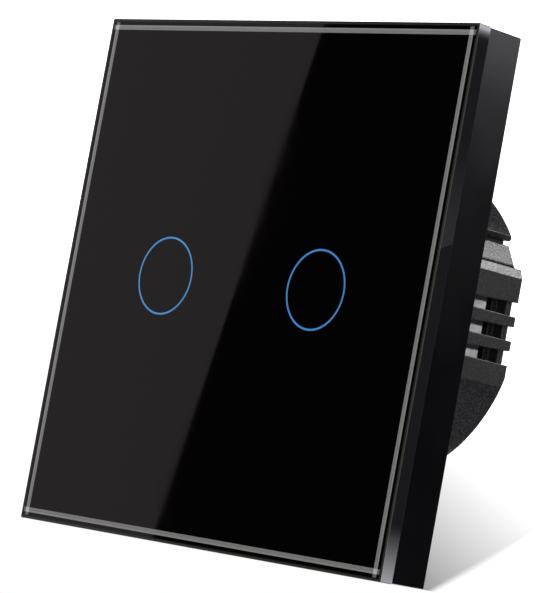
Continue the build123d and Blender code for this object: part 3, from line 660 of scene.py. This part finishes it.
# %% Cards that the glass and the frame reflect
black_distance, grey_distance = 320 * mm, 300 * mm
black_half_width, black_half_height = 190.0, 150.0
grey_left, grey_half_height = -120.0, 66.0
grey_edge_low, grey_edge_top = -14.3, 13.9
grey_colour, grey_strength = (1.0, 0.93, 0.94), 0.32
black_corners = [
    behind_glass(x, z, black_distance)
    for z in (-black_half_height, black_half_height)
    for x in (-black_half_width, black_half_width)
]
grey_corners = [
    behind_glass(x, z, grey_distance)
    for z, edge in ((-grey_half_height, grey_edge_low), (grey_half_height, grey_edge_top))
    for x in (grey_left, edge)
]
level, deep, upright = (1, 0, 0), (0, 1, 0), (0, 0, 1)
side_middle, side_across = (334, 276, 0), (-171, 182, 0)
side_corners = patch(side_middle, side_across, upright, (-1.3, 1.1), (-420, 260))
side_full_height, side_top = 108.0, 165.0
card("black_card", black_corners)
side_card, side_paint = card("side_card", side_corners, strength=0.86)
height = side_paint.axes("Z")[0]
side_glow = height.rise(0.0, side_full_height, power=7.5, most=1.25) * (height < side_top)
side_colour = [side_glow * part for part in (0.98, 0.95, 1.0)]
side_paint.set("Emission Color", side_paint.add("ShaderNodeCombineColor", {}, side_colour))

# %% Cards that keep the room out of the rounds and the bevel
shoulder_slope = (0, 0.73, -0.68)
dark_places = {
    "low_card": ((80, 224, -225), level, upright, (-120, 120), (-110, 90)),
    "top_card": ((-291, 31, 273), level, deep, (-90, 90), (-110, 110)),
    "shoulder_card": ((0, 433, 454), level, shoulder_slope, (-430, 170), (-260, 260)),
}
for name, place in dark_places.items():
    card(name, patch(*place))
card("grey_card", grey_corners, grey_colour, grey_strength)

# %% [markdown]
# ## Light
# A soft key lamp to the left in front lights the whole switch. The table has a lamp of its own, so that
# the wedge of shadow can be matched without changing the switch: only the glass and the frame throw
# it. Three small lamps light one thing each. The shoulder light, high behind to the right, glances over
# the housing's sloping shoulder. The arm light picks out the steel arm in the vents, and the flat light
# gives the housing's flat side its sheen. A lamp names the objects that it lights in a collection. The
# world fills the rest evenly, and is white to the camera, to gloss and through glass.


# %% Lamp maker
def softbox(name, place, aim, width, length, watts):
    """A lamp at a place, turned to aim at another, both in millimetres. Width runs left to right."""
    lamp = bpy.data.lights.new(name, "AREA")
    lamp.shape = "RECTANGLE"
    lamp.size, lamp.size_y = width * mm, length * mm
    lamp.energy = watts
    holder = bpy.data.objects.new(name, lamp)
    bpy.context.scene.collection.objects.link(holder)
    place, aim = Vector(place) * mm, Vector(aim) * mm
    away = (place - aim).normalized()
    along = away.cross(to_right).normalized()
    turn = Matrix((along.cross(away), along, away)).transposed().to_4x4()
    holder.matrix_world = Matrix.Translation(place) @ turn
    return holder


def shelf_of(name, things, state):
    """A collection that names these objects to a lamp, to be taken in or left out."""
    shelf = bpy.data.collections.new(name)
    for number, thing in enumerate(things):
        shelf.objects.link(thing)
        shelf.collection_objects[number].light_linking.link_state = state
    return shelf


def keep_to(lamp, things, state="INCLUDE"):
    """Lets a lamp or a glowing card light only these objects, or all but these."""
    lamp.light_linking.receiver_collection = shelf_of(lamp.name + "_lights", things, state)


# %% Lamps
lamps = {
    name: softbox(name, place, aim, width, length, watts)
    for name, place, aim, width, length, watts in [
        ("key", (-400, -771, 704), (0, 0, 0), 260, 260, 9.0),
        ("floor_light", (-108, -700, 930), (0, 0, 0), 230, 130, 120.0),
        ("shoulder_light", (164, 290, 252), (20, 20, 12), 90, 90, 0.31),
        ("arm_light", (420, 90, 110), (24, 8, 0), 60, 60, 2.2),
        ("flat_light", (311, 293, 31), (20, 20, 0), 120, 120, 0.022),
    ]
}
panel_pieces = [nodes["glass_panel"], nodes["panel_frame"]]
shadow_makers = shelf_of("floor_light_shadows", panel_pieces, "INCLUDE")
lamps["key"].visible_glossy = False
lamps["floor_light"].light_linking.blocker_collection = shadow_makers
keep_to(lamps["key"], [table], "EXCLUDE")
keep_to(lamps["floor_light"], [table])
keep_to(lamps["shoulder_light"], [table, *panel_pieces], "EXCLUDE")
keep_to(lamps["arm_light"], [nodes["mounting_plate"]])
keep_to(lamps["flat_light"], [nodes["rear_housing"]])
keep_to(side_card, [nodes["panel_frame"]])
print("lamps:", list(lamps))

# %% World
world = bpy.data.worlds.new("white_room")
bpy.context.scene.world = world
world.use_nodes = True
room = Network(world.node_tree)
background = world.node_tree.nodes["Background"]
fill_light = 0.55
ray_kinds = ("Is Camera Ray", "Is Glossy Ray", "Is Transmission Ray")
camera_ray, glossy_ray, glass_ray = [
    room.add("ShaderNodeLightPath", {}, {}, kind) for kind in ray_kinds
]
seen = (camera_ray + glossy_ray + glass_ray).smaller(1.0)
room.plug(background.inputs["Strength"], fill_light + seen * (1 - fill_light))
room.plug(background.inputs["Color"], (1, 1, 1))
bpy.context.scene.view_settings.view_transform = "Standard"
print("the world fills at", fill_light)

# %% [markdown]
# ## Closing

# %% End
print("scene dressed")
